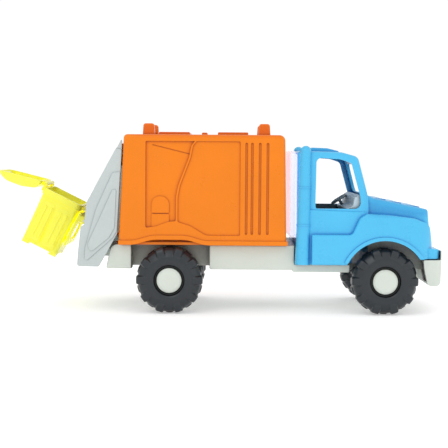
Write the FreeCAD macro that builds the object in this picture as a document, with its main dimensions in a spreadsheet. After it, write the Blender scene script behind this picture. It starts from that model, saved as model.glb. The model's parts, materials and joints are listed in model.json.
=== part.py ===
import FreeCAD, Part
import math
import os
from FreeCAD import Placement, Rotation, Vector

# A free-rolling toy garbage truck: bonneted cab, tipping container, rear hopper that swings up,
# and a small lidded bin on a lift at the hopper's lip.
# Frame: +X towards the front bumper, +Y to the truck's left, +Z up, ground at Z = 0.

doc = FreeCAD.newDocument("garbage_truck")
sheet = doc.addObject("Spreadsheet::Sheet", "Sheet")

DIMENSIONS = [
    # running gear
    ("tyre_radius", 33.8), ("tyre_width", 28.0), ("tyre_bore", 15.6), ("lug_depth", 2.8),
    ("track_outer", 148.0), ("front_axle_x", 168.5), ("rear_axle_x", -48.5),
    ("axle_radius", 2.0), ("axle_length", 141.0), ("axle_play", 0.08), ("cap_radius", 12.6),
    # chassis
    ("chassis_width", 112.0), ("bay_width", 78.0), ("deck_top", 68.7), ("wall", 2.6),
    ("bumper_width", 128.0), ("bumper_front_x", 227.2), ("tip_pivot_x", -106.0), ("tip_pivot_z", 66.0),
    ("pin_radius", 1.5), ("pin_play", 0.06),
    # cab
    ("cab_width", 126.0), ("bonnet_width", 108.0), ("wing_width", 138.0), ("arch_radius", 42.0),
    ("stack_radius", 7.6), ("stack_top", 164.2),
    # container
    ("container_width", 130.0), ("container_top", 180.2), ("container_base", 69.0),
    # hopper
    ("hopper_width", 123.0), ("cheek", 3.2), ("gate_pivot_x", -98.6), ("gate_pivot_z", 167.8),
    ("lift_pivot_x", -139.0), ("lift_pivot_z", 90.5),
    # bin
    ("bin_tilt", 26.5), ("bin_height", 61.0), ("bin_depth", 40.4), ("bin_width", 60.0),
    ("bin_wall", 2.0), ("lid_open", 192.5),
]
for row, (alias, value) in enumerate(DIMENSIONS, start=1):
    sheet.set("A%d" % row, alias)
    sheet.set("B%d" % row, str(value))
    sheet.setAlias("B%d" % row, alias)
doc.recompute()
size = {alias: float(sheet.get(alias)) for alias, value in DIMENSIONS}

half_track = size["track_outer"] / 2


# ---------------------------------------------------------------- building blocks

def outline(corners):
    """Closed run of lines and tangent arcs through corners given as (u, v) or (u, v, radius)."""
    edges = []
    starts = []
    ends = []
    count = len(corners)
    for index, corner in enumerate(corners):
        point = Vector(corner[0], corner[1], 0)
        before = corners[index - 1]
        after = corners[(index + 1) % count]
        radius = corner[2] if len(corner) > 2 else 0
        back = Vector(before[0], before[1], 0) - point
        ahead = Vector(after[0], after[1], 0) - point
        back.normalize()
        ahead.normalize()
        if radius <= 0:
            starts.append(point)
            ends.append(point)
            continue
        half_angle = back.getAngle(ahead) / 2
        reach = radius / math.tan(half_angle)
        first = point + back * reach
        last = point + ahead * reach
        middle = back + ahead
        middle.normalize()
        centre = point + middle * (radius / math.sin(half_angle))
        edges.append(Part.Arc(first, centre - middle * radius, last))
        starts.append(first)
        ends.append(last)
    for index in range(count):
        here = ends[index]
        there = starts[(index + 1) % count]
        if here.distanceToPoint(there) > 1e-6:
            edges.append(Part.LineSegment(here, there))
    return edges


def plane_of(body, role):
    for feature in body.Origin.OriginFeatures:
        if feature.Role == role:
            return feature
    raise RuntimeError("no plane " + role)


def bind(target, prop, value):
    """Set a size: text is an expression on the sheet, a number is a plain value."""
    if isinstance(value, str):
        target.setExpression(prop, value)
    else:
        setattr(target, prop, value)


def sketch_on(body, name, role, edges, lift=0.0):
    sketch = body.newObject("Sketcher::SketchObject", name)
    sketch.AttachmentSupport = (plane_of(body, role), [""])
    sketch.MapMode = "FlatFace"
    sketch.AttachmentOffset = Placement(Vector(0, 0, lift), Rotation())
    for edge in edges:
        sketch.addGeometry(edge, False)
    return sketch


def prism(name, corners, width, middle=0.0, role="XZ_Plane"):
    """A side outline in X and Z, padded to a width about the plane Y = middle."""
    body = doc.addObject("PartDesign::Body", name)
    lift = -middle if role == "XZ_Plane" else middle
    sketch = sketch_on(body, name + "_sketch", role, outline(corners), lift)
    pad = body.newObject("PartDesign::Pad", name + "_pad")
    pad.Profile = sketch
    pad.Midplane = True
    bind(pad, "Length", width)
    body.Tip = pad
    return body


def rounded(body, radius, choose):
    """Round the edges of a body's pad that choose(edge) accepts."""
    doc.recompute()
    base = body.Tip
    names = []
    for index, edge in enumerate(base.Shape.Edges, start=1):
        if choose(edge):
            names.append("Edge%d" % index)
    fillet = body.newObject("PartDesign::Fillet", body.Name + "_round")
    fillet.Base = (base, names)
    fillet.Radius = radius
    body.Tip = fillet
    return body


def block(name, low, high):
    """A box between two corners."""
    box = doc.addObject("Part::Box", name)
    box.Length = high[0] - low[0]
    box.Width = high[1] - low[1]
    box.Height = high[2] - low[2]
    box.Placement = Placement(Vector(*low), Rotation())
    return box


def rod(name, radius, length, centre, axis=Vector(0, 1, 0)):
    """A cylinder centred on a point, along an axis."""
    cylinder = doc.addObject("Part::Cylinder", name)
    bind(cylinder, "Radius", radius)
    bind(cylinder, "Height", length)
    doc.recompute([cylinder])
    turn = Rotation(Vector(0, 0, 1), axis)
    start = Vector(*centre) - turn.multVec(Vector(0, 0, cylinder.Height.Value / 2))
    cylinder.Placement = Placement(start, turn)
    return cylinder


def fuse(name, pieces):
    if len(pieces) == 1:
        return pieces[0]
    joined = doc.addObject("Part::MultiFuse", name)
    joined.Shapes = pieces
    joined.Refine = False
    return joined


def cut(name, base, tools):
    result = doc.addObject("Part::Cut", name)
    result.Base = base
    result.Tool = fuse(name + "_tools", tools)
    result.Refine = False
    return result


def both_sides(make):
    """The same small piece on the right (-1) and on the left (+1)."""
    return [make(side) for side in (-1, 1)]


nodes = []


def node(feature, label):
    feature.Label = label
    nodes.append(feature)
    return feature


def level(edge, axis, value, slack=0.05):
    """True for an edge that lies wholly at one value of x, y or z."""
    box = edge.BoundBox
    low = getattr(box, axis + "Min")
    high = getattr(box, axis + "Max")
    return abs(low - value) < slack and abs(high - value) < slack


def beside(width):
    """Chooses the edges on both side faces of a prism of this width."""
    return lambda edge: level(edge, "Y", width / 2) or level(edge, "Y", -width / 2)


# ---------------------------------------------------------------- wheels and axles

LUGS = 10
LUG_STEP = 360 / LUGS
LUG_HALF_ANGLE = 7.5
wheel_z = size["tyre_radius"]
wheel_mid = half_track - size["tyre_width"] / 2


def turned(name, section):
    """A round piece turned about Y from a closed section given in radius and Y."""
    body = doc.addObject("PartDesign::Body", name)
    sketch = sketch_on(body, name + "_section", "XY_Plane", outline(section))
    turn = body.newObject("PartDesign::Revolution", name + "_turn")
    turn.Profile = sketch
    turn.ReferenceAxis = (sketch, ["V_Axis"])
    turn.Angle = 360
    body.Tip = turn
    return body


def spun(corners, angle):
    """Corners in X and Z, turned about the wheel's centre."""
    turn = math.radians(angle)
    return [(x * math.cos(turn) - z * math.sin(turn), x * math.sin(turn) + z * math.cos(turn))
            for x, z in corners]


def pocket_ring(body, name, corners, low, high, count):
    """A pocket between two values of Y, repeated round the axle."""
    sketch = sketch_on(body, name + "_sketch", "XZ_Plane", outline(corners), -(low + high) / 2)
    pocket = body.newObject("PartDesign::Pocket", name + "_pocket")
    pocket.Profile = sketch
    pocket.Midplane = True
    pocket.Length = high - low
    body.Tip = pocket
    copies = body.newObject("PartDesign::PolarPattern", name + "_copies")
    copies.Originals = [pocket]
    copies.Axis = (sketch, ["N_Axis"])
    copies.Angle = 360
    copies.Occurrences = count
    body.Tip = copies


def tyre(name):
    """Tyre with ten lugs on each shoulder, staggered; their flat tops meet the ground in turn."""
    flat = size["tyre_radius"]
    crown = flat + 0.35
    base = flat - size["lug_depth"]
    bore = size["tyre_bore"]
    half = size["tyre_width"] / 2
    body = turned(name, [
        (bore, -half + 3.5, 1), (bore + 3, -half + 0.8, 2), (bore + 9, -half, 4),
        (crown - 3.2, -half + 2.2, 2), (crown, -half + 5, 1.2), (crown, half - 5, 1.2),
        (crown - 3.2, half - 2.2, 2), (bore + 9, half, 4), (bore + 3, half - 0.8, 2),
        (bore, half - 3.5, 1),
    ])
    doc.recompute()
    pocket_ring(body, name + "_flat", [
        (-6.5, -flat), (6.5, -flat), (6.5, -flat - 3), (-6.5, -flat - 3)], -half - 2, half + 2, 2 * LUGS)
    spare = math.radians(LUG_STEP / 2 - LUG_HALF_ANGLE)
    mouth = flat * math.tan(spare)
    throat = base * math.tan(spare) - 1.2
    gap = [(-throat, -base), (throat, -base), (mouth, -flat), (mouth + 1, -flat - 3),
           (-mouth - 1, -flat - 3), (-mouth, -flat)]
    heel = half - 2.6
    waist = bore + 10
    notch = [(-throat + 1.4, -waist), (throat - 1.4, -waist), (throat, -base - 0.5),
             (-throat, -base - 0.5)]
    for tag, angle, tread, wall_cut in (("_out", 0, (0, half + 2), (heel, half + 2)),
                                        ("_in", LUG_STEP / 2, (-half - 2, 0), (-half - 2, -heel))):
        pocket_ring(body, name + tag + "_gap", spun(gap, angle), *tread, LUGS)
        pocket_ring(body, name + tag + "_notch", spun(notch, angle), *wall_cut, LUGS)
    return body


def wheel_disc(name):
    """Inner half of a wheel: rim barrel, web and the sleeve that is pressed on the axle."""
    rim = size["tyre_bore"]
    barrel = rim - 2.3
    axle = size["axle_radius"]
    return turned(name, [
        (axle, -14), (axle + 4, -14, 0.8), (axle + 4, 3, 1), (barrel, 3, 1), (barrel, -10.5),
        (rim, -10.5), (rim, 10.5), (barrel, 11.3, 0.8), (barrel, 7), (axle, 7),
    ])


def hub_cap(name):
    """Round cap pushed over the axle's end."""
    cap = size["cap_radius"]
    axle = size["axle_radius"]
    return turned(name, [
        (0, 10.5), (axle, 10.5), (axle, 7), (cap, 7), (cap, 11.6, 1.2), (cap - 2.4, 12.9, 2),
        (0, 13.2),
    ])


for end in ("front", "rear"):
    axle_x = size[end + "_axle_x"]
    node(rod(end + "_axle_rod", "Sheet.axle_radius", "Sheet.axle_length",
             (axle_x, 0, wheel_z)), end + "_axle")
    for hand, side in (("right", -1), ("left", 1)):
        for make, what in ((tyre, "tyre"), (wheel_disc, "wheel_disc"), (hub_cap, "hub_cap")):
            label = "%s_%s_%s" % (end, hand, what)
            piece = make(label + "_body")
            turn = Rotation(Vector(0, 0, 1), 0 if side > 0 else 180)
            piece.Placement = Placement(Vector(axle_x, side * wheel_mid, wheel_z), turn)
            node(piece, label)


# ---------------------------------------------------------------- chassis

pivot = (size["tip_pivot_x"], size["tip_pivot_z"])
deck = size["deck_top"]
wall = size["wall"]
half_chassis = size["chassis_width"] / 2
half_bay = size["bay_width"] / 2
SILL_TOP = 49.5
SADDLE_LOW = 29.0
SADDLE_TOP = {"front": 59.0, "rear": 67.0}
KEEPER_LOW = 26.2
SADDLE_Y = (26.0, 34.0)
EAR_Y = (44.6, 50.0)
TIP_EAR_Y = (38.0, 43.6)

rear_block = prism("chassis_rear", [
    (-113.6, 44, 1.5), (-88, 44), (-88, deck), (-108.5, deck, 7)], "Sheet.chassis_width")
rounded(rear_block, 1.2, beside(2 * half_chassis))
mid_block = prism("chassis_middle", [
    (-8.3, 43.6, 1.5), (78, 43.6, 1.5), (78, deck), (-8.3, deck)], "Sheet.chassis_width")
rounded(mid_block, 1.2, beside(2 * half_chassis))
rear_beam = prism("chassis_beam", [(-92, 46, 1), (0, 46, 1), (0, deck), (-92, deck)], "Sheet.bay_width")
cab_sill = prism("chassis_sill", [
    (76, 41.6, 1.5), (134.2, 41.6, 1.5), (134.2, SILL_TOP), (76, SILL_TOP)], "Sheet.chassis_width")
rounded(cab_sill, 1.0, beside(2 * half_chassis))
front_beam = prism("chassis_front", [
    (130, 41.6), (130, SILL_TOP), (143, SILL_TOP, 2), (151, 60, 4), (208, 60, 3), (211.5, 45.6, 2.5),
    (190, 44, 8), (146, 44, 4)], "Sheet.bay_width")
bumper_front = size["bumper_front_x"]
bumper_side = prism("bumper_side", [
    (212.5, 29.2, 4), (225.3, 29.2, 5), (bumper_front, 64.6, 0.8), (bumper_front - 1.8, 64.8, 0.7),
    (bumper_front - 1.8, 55.4, 0.8), (207.6, 55.4, 1), (208.6, 46, 4)], "Sheet.bumper_width")
half_bumper = size["bumper_width"] / 2
bumper_plan = prism("bumper_plan", [
    (150, -half_bumper), (bumper_front, -half_bumper, 8), (bumper_front, half_bumper, 8),
    (150, half_bumper)], 60.0, 48.0, "XY_Plane")
bumper = doc.addObject("Part::Common", "bumper")
bumper.Base = bumper_side
bumper.Tool = bumper_plan

saddles = []
slots = []
screw_holes = []
screws = []
keeper_holes = []
SCREW_STEP = 7.0
for end in ("front", "rear"):
    axle_x = size[end + "_axle_x"]
    for side in (-1, 1):
        low, high = sorted((side * SADDLE_Y[0], side * SADDLE_Y[1]))
        middle = (low + high) / 2
        saddles.append(block("saddle", (axle_x - 11, low, SADDLE_LOW), (axle_x + 11, high, SADDLE_TOP[end])))
        play = size["axle_radius"] + size["axle_play"]
        slots.append(block("axle_slot", (axle_x - play, low - 1, SADDLE_LOW - 1),
                           (axle_x + play, high + 1, wheel_z)))
        slots.append(rod("axle_seat", "Sheet.axle_radius + Sheet.axle_play", high - low + 2,
                         (axle_x, middle, wheel_z)))
        for step in (-SCREW_STEP, SCREW_STEP):
            place = (axle_x + step, middle)
            up = Vector(0, 0, 1)
            screw_holes.append(rod("screw_hole", 1.5, 12.0, (*place, SADDLE_LOW + 5.5), up))
            keeper_holes.append(rod("keeper_hole", 1.7, 6.0, (*place, KEEPER_LOW), up))
            shank = rod("shank", 1.5, 12.6, (*place, KEEPER_LOW + 6.3), up)
            head = rod("head", 2.9, 1.8, (*place, KEEPER_LOW - 0.9), up)
            screws.append(fuse("keeper_screw", [shank, head]))

ears = []
for side in (-1, 1):
    low, high = sorted((side * EAR_Y[0], side * EAR_Y[1]))
    ears.append(rod("tip_ear", 5.0, high - low, (pivot[0], (low + high) / 2, pivot[1])))

hollows = [
    block("rear_hollow", (-110, -53.4, 40), (-90.6, 53.4, 62)),
    block("beam_hollow", (-91, -36.4, 40), (-6, 36.4, 66.1)),
    block("middle_hollow", (-5.7, -53.4, 40), (75.4, 53.4, 66.1)),
    block("sill_hollow", (79, -53.4, 40), (131.6, 53.4, 46.9)),
    block("front_hollow", (152, -36.4, 36), (205, 36.4, 57.4)),
]
for side in (-1, 1):
    low, high = sorted((side * (half_bay + 2.6), side * (half_bumper - 5)))
    hollows.append(block("bumper_hollow", (200, low, 33), (bumper_front - 3.2, high, 52.4)))
    low, high = sorted((side * (TIP_EAR_Y[0] - 0.7), side * (TIP_EAR_Y[1] + 0.6)))
    hollows.append(block("ear_slot", (-120, low, 60.5), (-92.0, high, 72)))
body_outer = fuse("chassis_outer", [rear_block, mid_block, rear_beam, cab_sill, front_beam, bumper])
body_hollow = cut("chassis_tray", body_outer, hollows)
stiff = [
    block("rib_a", (20, -54, 50), (22.2, 54, 67)),
    block("rib_b", (48, -54, 50), (50.2, 54, 67)),
    block("spine", (-7, -1.2, 50), (77, 1.2, 67)),
]
guards = []
for side in (-1, 1):
    low, high = sorted((side * 42.8, side * 45.0))
    guards.append(prism("mudguard", [
        (154, 44.5), (154, 82, 10), (176, 93, 16), (200, 90, 12), (209.5, 72, 12), (212.5, 54), (212.5, 44.5)],
        high - low, (low + high) / 2))
    low, high = sorted((side * 38, side * 44))
    guards.append(block("mudguard_foot", (158, low, 57.4), (205, high, 59.9)))
chassis_solid = fuse("chassis_solid", [body_hollow] + saddles + ears + stiff + guards)
CAB_BOSS = [(88.0, -40.0), (88.0, 40.0), (195.0, -24.0), (195.0, 24.0)]
cab_holes = [rod("cab_hole", 1.8, 8.0, (x, y, 48.0 if x < 150 else 58.7), Vector(0, 0, 1))
             for x, y in CAB_BOSS]
pin_bore = rod("tip_pin_bore", "Sheet.pin_radius", 104.0, (pivot[0], 0, pivot[1]))
node(cut("chassis_body", chassis_solid, slots + screw_holes + cab_holes + [pin_bore]), "chassis")
node(rod("tip_pin", "Sheet.pin_radius", 100.0, (pivot[0], 0, pivot[1])), "container_hinge_pin")

keeper_screws = doc.addObject("Part::Compound", "keeper_screw_set")
keeper_screws.Links = screws
node(keeper_screws, "keeper_screws")

for end in ("front", "rear"):
    axle_x = size[end + "_axle_x"]
    top = SADDLE_LOW - 0.05
    plate = block(end + "_plate", (axle_x - 13, -37, KEEPER_LOW), (axle_x + 13, 37, top))
    tongue_top = wheel_z - size["axle_radius"] - size["axle_play"]
    tongues = []
    for side in (-1, 1):
        low, high = sorted((side * SADDLE_Y[0], side * SADDLE_Y[1]))
        tongues.append(block("tongue", (axle_x - 1.9, low, KEEPER_LOW + 1), (axle_x + 1.9, high, tongue_top)))
    keeper = fuse(end + "_keeper_solid", [plate] + tongues)
    holes = [hole for hole in keeper_holes if abs(hole.Placement.Base.x - axle_x) < 20]
    node(cut(end + "_keeper_body", keeper, holes), end + "_axle_keeper")


# ---------------------------------------------------------------- cab

half_cab = size["cab_width"] / 2
half_wing = size["wing_width"] / 2
half_bonnet = size["bonnet_width"] / 2
CAB_BACK = 80.0
ROOF_HALF = 61.6
LIP_HALF = 62.0
LIP_FRONT = 224.8
WING_FRONT = 218.6
front_x = size["front_axle_x"]

greenhouse = prism("greenhouse", [
    (CAB_BACK, 98), (CAB_BACK, 164.7, 3), (124, 163.6, 22), (140.8, 159.0, 7), (151.6, 119),
    (151.6, 98)], 2 * ROOF_HALF)
rounded(greenhouse, 5.0, lambda edge: (level(edge, "Y", ROOF_HALF) or level(edge, "Y", -ROOF_HALF))
        and edge.BoundBox.ZMax > 119.5)
lower_cab = prism("lower_cab", [
    (CAB_BACK, 50, 1), (141, 50), (151.6, 80), (151.6, 103.5, 3), (CAB_BACK, 106.2)], "Sheet.cab_width")
rounded(lower_cab, 1.6, beside(2 * half_cab))
BONNET_BACK = 117.4
BONNET_TIP = 106.0
bonnet = prism("bonnet", [
    (140, 85), (140, 120.4), (151.6, 120.2, 2), (158.2, BONNET_BACK, 6), (213.4, BONNET_TIP, 3), (217.4, 64),
    (200, 64)], "Sheet.bonnet_width")
rounded(bonnet, 6.0, lambda edge: (level(edge, "Y", half_bonnet) or level(edge, "Y", -half_bonnet))
        and edge.BoundBox.ZMax > 103 and edge.BoundBox.XMin > 146)
bonnet_plan = prism("bonnet_plan", [
    (100, -half_bonnet - 1), (218.4, -half_bonnet - 1, 12), (218.4, half_bonnet + 1, 12),
    (100, half_bonnet + 1)], 90.0, 95.0, "XY_Plane")
wing = prism("wing", [
    (94.6, 50, 1), (94.6, 80.6, 1), (135.2, 80.6, 5), (142.6, 97.4, 9), (149.5, 101.9, 7),
    (173, 100.5, 30), (198, 97.5, 22), (213.6, 91.2, 9), (WING_FRONT, 64), (WING_FRONT, 50)],
    "Sheet.wing_width")
rounded(wing, 2.4, beside(2 * half_wing))
wing_plan = prism("wing_plan", [
    (90, -half_wing - 1), (WING_FRONT, -half_wing - 1, 24), (WING_FRONT, half_wing + 1, 24),
    (90, half_wing + 1)], 90.0, 75.0, "XY_Plane")
lip = prism("nose_lip", [
    (200, 56.0), (LIP_FRONT - 1.0, 56.0, 1.2), (LIP_FRONT, 65.8, 1.6), (212, 67.6), (200, 67.6)], 2 * LIP_HALF)
lip_plan = prism("lip_plan", [
    (190, -LIP_HALF), (LIP_FRONT, -LIP_HALF, 8), (LIP_FRONT, LIP_HALF, 8), (190, LIP_HALF)],
    30.0, 60.0, "XY_Plane")


def trimmed(name, side_view, plan_view):
    both = doc.addObject("Part::Common", name)
    both.Base = side_view
    both.Tool = plan_view
    return both


STACK_BASE = Vector(85.5, 60.4, 50.0)
STACK_LEAN = Vector(2.5, 0, 0)
STACK_TIP_RADIUS = 5.5


def stack(side):
    """Upright exhaust pipe moulded on the cab's rear corner, tapered and domed."""
    foot = Vector(STACK_BASE.x, side * STACK_BASE.y, STACK_BASE.z)
    rise = Vector(0, 0, size["stack_top"] - foot.z)
    pipe = doc.addObject("Part::Cone", "stack_pipe")
    pipe.setExpression("Radius1", "Sheet.stack_radius")
    pipe.Radius2 = STACK_TIP_RADIUS
    pipe.Height = (rise + STACK_LEAN).Length
    pipe.Placement = Placement(foot, Rotation(Vector(0, 0, 1), rise + STACK_LEAN))
    dome = doc.addObject("Part::Sphere", "stack_dome")
    dome.Radius = STACK_TIP_RADIUS
    dome.Placement = Placement(foot + rise + STACK_LEAN, Rotation())
    pieces = [pipe, dome]
    for share in (0.35, 0.68):
        centre = foot + (rise + STACK_LEAN) * share
        local = size["stack_radius"] + (STACK_TIP_RADIUS - size["stack_radius"]) * share
        pieces.append(rod("stack_band", local + 0.45, 1.6, tuple(centre), Vector(0, 0, 1)))
    return fuse("stack", pieces)


def arch_lip(side):
    """Raised rim round the wheel arch on the wing's outer face."""
    low, high = sorted((side * (half_wing - 2), side * (half_wing + 1.2)))
    middle = (front_x, (low + high) / 2, 33.0)
    ring = rod("arch_rim", "Sheet.arch_radius + 3.6", high - low, middle)
    zone = block("arch_zone", (128, low - 1, 52), (208.5, high + 1, 95))
    return trimmed("arch_lip", ring, zone)


LOUVRE_STEPS = ((159.5, 171.5), (173.0, 187.5), (189.0, 206.0))
BONNET_FALL = (BONNET_BACK - BONNET_TIP) / (213.4 - 158.2)


def louvre(start, stop):
    """A low raised plate on the bonnet, thickest at its front edge."""
    def top(x):
        return BONNET_BACK - BONNET_FALL * (x - 158.2)
    return prism("louvre", [
        (start, top(start) - 2), (start, top(start) + 0.1), (stop, top(stop) + 1.0),
        (stop, top(stop) - 2)], 82.0)


louvres = [louvre(*step) for step in LOUVRE_STEPS]
visor = prism("roof_visor", [
    (95, 161), (95, 168.2, 1.2), (112, 167.6, 12), (124, 164.6, 0.8), (122, 161)], 64.0)
cab_posts = [rod("cab_post", 4.0, 48.5, (x, y, 84.45), Vector(0, 0, 1)) for x, y in CAB_BOSS if x > 150]
cab_posts += [block("cab_post", (CAB_BACK + 0.5, y - 4, 49.6), (92, y + 4, 73.5))
              for x, y in CAB_BOSS if x < 150]
outer_cab = fuse("cab_outer", [
    greenhouse, lower_cab, trimmed("bonnet_nose", bonnet, bonnet_plan),
    trimmed("wing_nose", wing, wing_plan), trimmed("lip_nose", lip, lip_plan), visor,
    *louvres,
    *both_sides(stack), *both_sides(arch_lip)])

inner_roof = prism("inner_roof", [
    (CAB_BACK + wall, 96), (CAB_BACK + wall, 162.1, 2), (123, 161.0, 20), (138.6, 156.4, 5),
    (148.9, 118), (148.9, 96)], 2 * (ROOF_HALF - wall))
inner_lower = prism("inner_lower", [
    (CAB_BACK + wall, 48), (134.6, 48), (134.6, 97), (CAB_BACK + wall, 97)], 2 * (half_cab - wall))
inner_bonnet = prism("inner_bonnet", [
    (152.0, 60), (152.0, 117.0), (158, 114.0), (171, 112.2), (187, 109.0), (204, 105.4),
    (210.4, 103.4), (214.2, 68), (214.2, 60)], 2 * (half_bonnet - wall))
inner_wing = prism("inner_wing", [
    (137.4, 48), (138.0, 80.6), (145.0, 95.6, 6), (151, 98.9, 5), (173, 97.6, 20),
    (197, 94.7, 16), (210.8, 88.8, 7), (215.0, 64), (215.0, 48)], 2 * (half_wing - wall))
inner_wing_plan = prism("inner_wing_plan", [
    (120, -half_wing + wall), (WING_FRONT - wall, -half_wing + wall, 21),
    (WING_FRONT - wall, half_wing - wall, 21), (120, half_wing - wall)], 90.0, 75.0, "XY_Plane")
inner_lip = block("inner_lip", (200, -LIP_HALF + 4, 50), (LIP_FRONT - 3, LIP_HALF - 4, 63.2))
inner_lip_plan = prism("inner_lip_plan", [
    (190, -LIP_HALF + 3), (LIP_FRONT - 3, -LIP_HALF + 3, 5.5), (LIP_FRONT - 3, LIP_HALF - 3, 5.5),
    (190, LIP_HALF - 3)], 40.0, 60.0, "XY_Plane")
side_windows = prism("side_windows", [
    (98.2, 106.6, 2.5), (98.8, 157.9, 5), (123, 156.3, 12), (134.0, 152.6, 5), (143.4, 118.5, 6),
    (144.2, 106.6, 6)], 160.0)
windscreen = prism("windscreen", [
    (-52, 121.5, 6), (52, 121.5, 6), (48, 151.0, 8), (-48, 151.0, 8)], 24.0, 147.0, "YZ_Plane")
back_opening = block("back_opening", (CAB_BACK - 2, -50, 76), (CAB_BACK + 4, 50, 156))
arches = both_sides(lambda side: rod(
    "wheel_arch", "Sheet.arch_radius", 30.0, (front_x, side * (half_wing - 10), 33.0)))
grille = [prism("grille_slot", [
    (211.0, 97), (230, 97), (230, 71), (213.9, 71)], 4.4, y) for y in (-27, -18, -9, 0, 9, 18, 27)]
nose_foot = block("nose_foot", (199, -80, 40), (235, 80, 56.6))
lamp_dish = both_sides(lambda side: rod("lamp_dish", 6.0, 6.0, (217.3, side * 36.0, 82.0), Vector(1, 0, 0)))
hollow_cab = cut("cab_hollow", outer_cab, [
    inner_roof, inner_lower, inner_bonnet, trimmed("inner_wing_nose", inner_wing, inner_wing_plan),
    trimmed("inner_lip_nose", inner_lip, inner_lip_plan), side_windows, windscreen, back_opening,
    *arches, *grille, *lamp_dish, nose_foot])
posted_cab = fuse("cab_posted", [hollow_cab] + cab_posts)
post_holes = [rod("post_hole", 1.5, 14.0, (x, y, 56.5 if x < 150 else 67.0), Vector(0, 0, 1))
              for x, y in CAB_BOSS]
node(cut("cab_body", posted_cab, post_holes), "cab_shell")

SHIELD_X = (72.4, CAB_BACK - 2.45)
SHIELD_HALF = 60.4
panel = prism("back_panel_plate", [
    (-54, 78.5, 2), (54, 78.5, 2), (54, 161.0, 4), (-54, 161.0, 4)], 2.4, CAB_BACK - 1.25, "YZ_Plane")
shield = prism("back_panel_shield", [
    (-SHIELD_HALF, 77.0, 3), (SHIELD_HALF, 77.0, 3), (SHIELD_HALF, 164.4, 5), (-SHIELD_HALF, 164.4, 5)],
    SHIELD_X[1] - SHIELD_X[0] + 0.2, sum(SHIELD_X) / 2, "YZ_Plane")
rounded(shield, 1.2, lambda edge: level(edge, "X", SHIELD_X[0] - 0.1))
panel_plug = block("back_panel_plug", (CAB_BACK - 1.5, -49.8, 76.2), (CAB_BACK + 2.4, 49.8, 155.8))
panel_relief = block("back_panel_relief", (SHIELD_X[0] + 2.2, -47.4, 80.6), (CAB_BACK + 5, 47.4, 153.4))
node(cut("back_panel", fuse("back_panel_solid", [panel, shield, panel_plug]), [panel_relief]),
     "cab_back_panel")

cab_screws = []
for x, y in CAB_BOSS:
    seat = 46.9 if x < 150 else 57.4
    shank = rod("cab_screw_shank", 1.5, 14.0, (x, y, seat + 7), Vector(0, 0, 1))
    head = rod("cab_screw_head", 2.9, 1.8, (x, y, seat - 0.9), Vector(0, 0, 1))
    cab_screws.append(fuse("cab_screw", [shank, head]))
cab_screw_set = doc.addObject("Part::Compound", "cab_screw_set")
cab_screw_set.Links = cab_screws
node(cab_screw_set, "cab_screws")

tray = prism("tray", [(94.2, 86, 2), (134, 86, 2), (134, 106.4), (94.2, 106.4)], 116.0)
tray_hollow = block("tray_hollow", (96.2, -56, 88), (132, 56, 112))
bench = prism("bench", [(94.2, 86.5), (116, 86.5), (116, 98, 4), (98, 96, 3), (95.6, 132, 3.5), (88, 132, 3.5),
                        (94.2, 100)], 104.0)
dash = prism("dash", [(131.4, 102.6, 1), (147.4, 102.6), (147.4, 118.6, 2), (143.6, 120.6, 3),
                      (138.2, 117.8, 3), (136.8, 109.6, 3), (131.4, 106.2, 1)], 114.0)
tray_feet = both_sides(lambda side: block(
    "tray_foot", (98, min(side * 46, side * 54), SILL_TOP + 0.05), (112, max(side * 46, side * 54), 90)))
interior = fuse("interior_solid", [cut("tray_open", tray, [tray_hollow]), bench, dash] + tray_feet)
WHEEL_LEAN = Vector(-0.55, 0, 0.84)
COLUMN_PLAY = 0.05
steering_at = Vector(130.0, 25.0, 113.2)
column_at = tuple(steering_at - WHEEL_LEAN * 4.2)
socket = rod("column_socket", 1.6 + COLUMN_PLAY, 8.8, column_at, WHEEL_LEAN)
node(cut("interior_body", interior, [socket]), "cab_interior")

rim = doc.addObject("Part::Torus", "steering_rim")
rim.Radius1 = 8.0
rim.Radius2 = 1.4
rim.Placement = Placement(steering_at, Rotation(Vector(0, 0, 1), WHEEL_LEAN))
spokes = rod("steering_spoke", 1.2, 16.0, tuple(steering_at), Vector(0, 1, 0))
boss = rod("steering_boss", 2.6, 3.0, tuple(steering_at), WHEEL_LEAN)
column = rod("steering_column", 1.6, 8.6, column_at, WHEEL_LEAN)
node(fuse("steering_body", [rim, spokes, boss, column]), "steering_wheel")


# ---------------------------------------------------------------- container

half_box = size["container_width"] / 2
box_top = size["container_top"]
box_base = size["container_base"]
SIDE_WALL = 3.6
REAR_LEAN = (-100.3, -94.9)
FRONT_X = (69.3, 67.2)
ARCH_CURVE = [(-13, 30), (-31, 40), (-66, 40), (-85, 30)]


def arch_line(low, high):
    """Lower edge from front to back, lifted over the rear wheel."""
    return [(x, low if turn == 30 else high, turn) for x, turn in ARCH_CURVE]


container_outer = prism("container_outer", [
    (REAR_LEAN[0], box_base), (REAR_LEAN[1], box_top, 3.8), (FRONT_X[1], box_top, 6),
    (FRONT_X[0], box_base)] + arch_line(box_base, box_base + 5.4), "Sheet.container_width")
rounded(container_outer, 3.6, lambda edge: (level(edge, "Y", half_box) or level(edge, "Y", -half_box))
        and edge.BoundBox.ZMax > 100)
container_inner = prism("container_inner", [
    (-120, 60), (-120, box_top - wall), (FRONT_X[1] - wall, box_top - wall, 3.5),
    (FRONT_X[0] - wall, 60)], 2 * (half_box - SIDE_WALL))
RIM = 4.4
rim_outer = prism("rim_outer", [
    (REAR_LEAN[0] + 0.2, box_base), (REAR_LEAN[0] + 0.2, 90), (FRONT_X[0] + 0.9, 90),
    (FRONT_X[0] + 0.9, box_base)] + arch_line(box_base, box_base + 5.4), 2 * (half_box + 0.9))
rim_above = prism("rim_above", [
    (-120, box_base + RIM), (-120, 95), (90, 95), (90, box_base + RIM)]
    + arch_line(box_base + RIM, box_base + RIM + 5.4), 150.0)
rim_band = cut("rim_band", rim_outer, [rim_above])


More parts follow.
